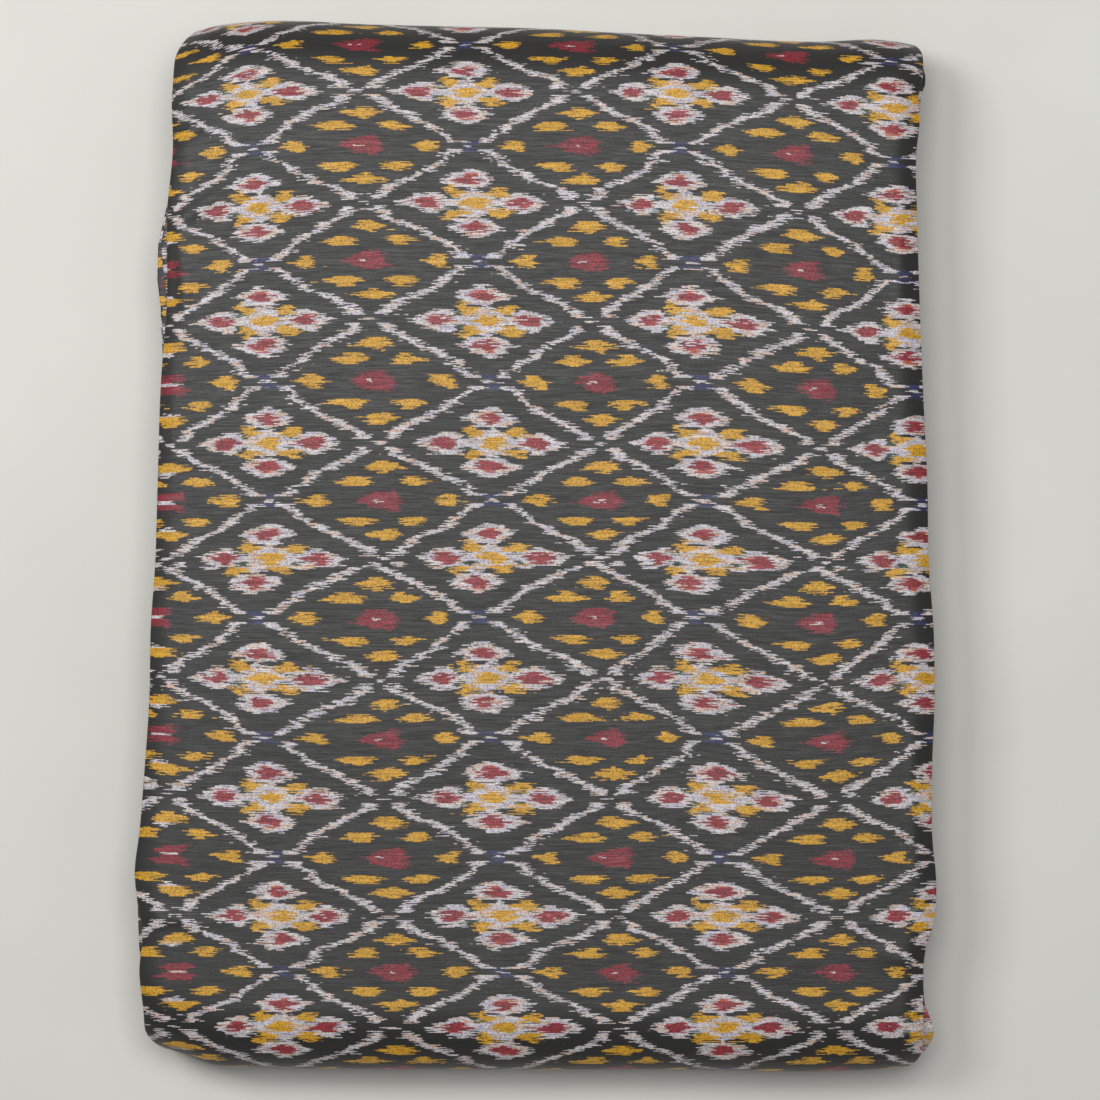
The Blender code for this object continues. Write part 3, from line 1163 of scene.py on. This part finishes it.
    def inner_turns(self, warp_stop: float) -> list[Sheet]:
        """Lays out the turns inside, a run and a bend at a time, and the hidden plies of the outer turn.

        Args:
            warp_stop: Place along the warp where the inner turns end.

        Returns:
            The stretches of cloth.
        """
        face_run = self.last_run - 1
        parts = []
        for run in range(face_run):
            parts.append(self.run_stations(run, self.hidden_step))
            if run < face_run - 1:
                parts.append(self.bend_stations(run, self.bend_steps(run)))
        stations = np.concatenate(parts)
        warp = self.warp_places(stations, 0)
        warp += warp_stop - warp[-1]
        lining = np.concatenate([
            self.bend_stations(face_run - 1, self.bend_steps(face_run)),
            self.run_stations(face_run, self.hidden_step / 2),
            self.bend_stations(face_run, self.bend_steps(face_run)),
            self.run_stations(self.last_run, self.hidden_step / 2),
        ])
        lining_warp = self.warp_places(lining, face_run)

        stretches, start = [], 0
        for run in range(face_run):
            stop = start + sum(len(part) for part in parts[2 * run : 2 * run + 2]) + (run < face_run - 1)
            stretches.append((stations[start:stop], (3, 0, 1, 2), warp[start:stop]))
            start = stop - 1
        stretches += [(lining, plies, lining_warp) for plies in ((3,), (1, 2))]
        found, bands = [], face_run + 3
        for number, (part, plies, part_warp) in enumerate(stretches):
            band = (number / bands + self.bake_margin, (number + 1) / bands - self.bake_margin)
            found.append(self.lay_out(part, self.hidden_section(*self.edges(part), plies), part_warp, band))
        return found

    def build(self, material: bpy.types.Material, relief: Relief) -> None:
        """Args:
            material: What they are dressed in.
            relief: The puckers of the face.
        """
        top, warp = self.outer_turn()
        pieces = {
            "ikat_outer_turn": [top],
            "ikat_underside": [self.underside(warp[-1])],
            "ikat_inner_turns": self.inner_turns(warp[0]),
        }
        points = np.concatenate([sheet.points.reshape(-1, 3) for part in pieces.values() for sheet in part])
        middle = (points.min(axis=0) + points.max(axis=0)) / 2
        middle[2] = 0.0
        for name, sheets in pieces.items():
            piece = mesh_of(name, sheets, middle)
            relief.lay_over(piece, material, self.cloth_thickness * MM)
            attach(piece, BODY)
            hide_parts(CLOTH_NODE)


@dataclass(frozen=True)
class Studio:
    """The camera over the bolt, and a soft light overhead that leans to the left."""

    image_width: float = 1100.0
    focal_pixels: float = 4500.0
    pixel: float = 0.365
    aim: tuple[float, float] = (5.3, -2.9)
    tilt: float = 2.0
    sensor: float = 36.0
    top: float = 37.8
    world_grey: float = 0.25

    # Where each softbox hangs, in metres, its width and its power
    softboxes: tuple[tuple[str, tuple[float, float, float], float, float], ...] = (
        ("key_softbox", (-0.8, 0.45, 1.3), 0.6, 11.0),
        ("overhead_softbox", (0.05, 0.33, 1.72), 0.9, 15.5),
    )

    def camera(self) -> None:
        """Makes the camera and sets it."""
        data = bpy.data.cameras.new("camera")
        data.sensor_width = self.sensor
        data.lens = self.focal_pixels / self.image_width * self.sensor
        camera = bpy.data.objects.new("camera", data)
        distance = self.focal_pixels * self.pixel
        turned = math.radians(self.tilt)
        camera.location = (
            self.aim[0] * MM,
            (self.aim[1] - distance * math.sin(turned)) * MM,
            (self.top + distance * math.cos(turned)) * MM,
        )
        camera.rotation_euler = (turned, 0.0, 0.0)
        bpy.context.scene.collection.objects.link(camera)
        bpy.context.scene.camera = camera

    def lights(self) -> None:
        """Makes the lights and the plain surroundings."""
        for name, place, size, power in self.softboxes:
            data = bpy.data.lights.new(name, "AREA")
            data.size, data.energy = size, power
            light = bpy.data.objects.new(name, data)
            light.location = place
            light.visible_camera = False
            x, y, z = place
            light.rotation_euler = (-math.atan2(-y, z), math.atan2(x, z), 0.0)
            bpy.context.scene.collection.objects.link(light)
        world = bpy.data.worlds.new("studio")
        world.use_nodes = True
        plug(world.node_tree.nodes["Background"], ((1.0, 1.0, 1.0, 1.0), self.world_grey))
        bpy.context.scene.world = world
        bpy.context.scene.view_settings.view_transform = "Standard"


def main() -> None:
    """Builds the cloth, the floor, the light and the camera."""
    logging.basicConfig(level=logging.INFO, format="%(name)s: %(message)s")
    Bolt().build(IkatCotton().build(), Relief())
    PlainFloor().build()
    studio = Studio()
    studio.camera()
    studio.lights()


if __name__ == "__main__":
    main()
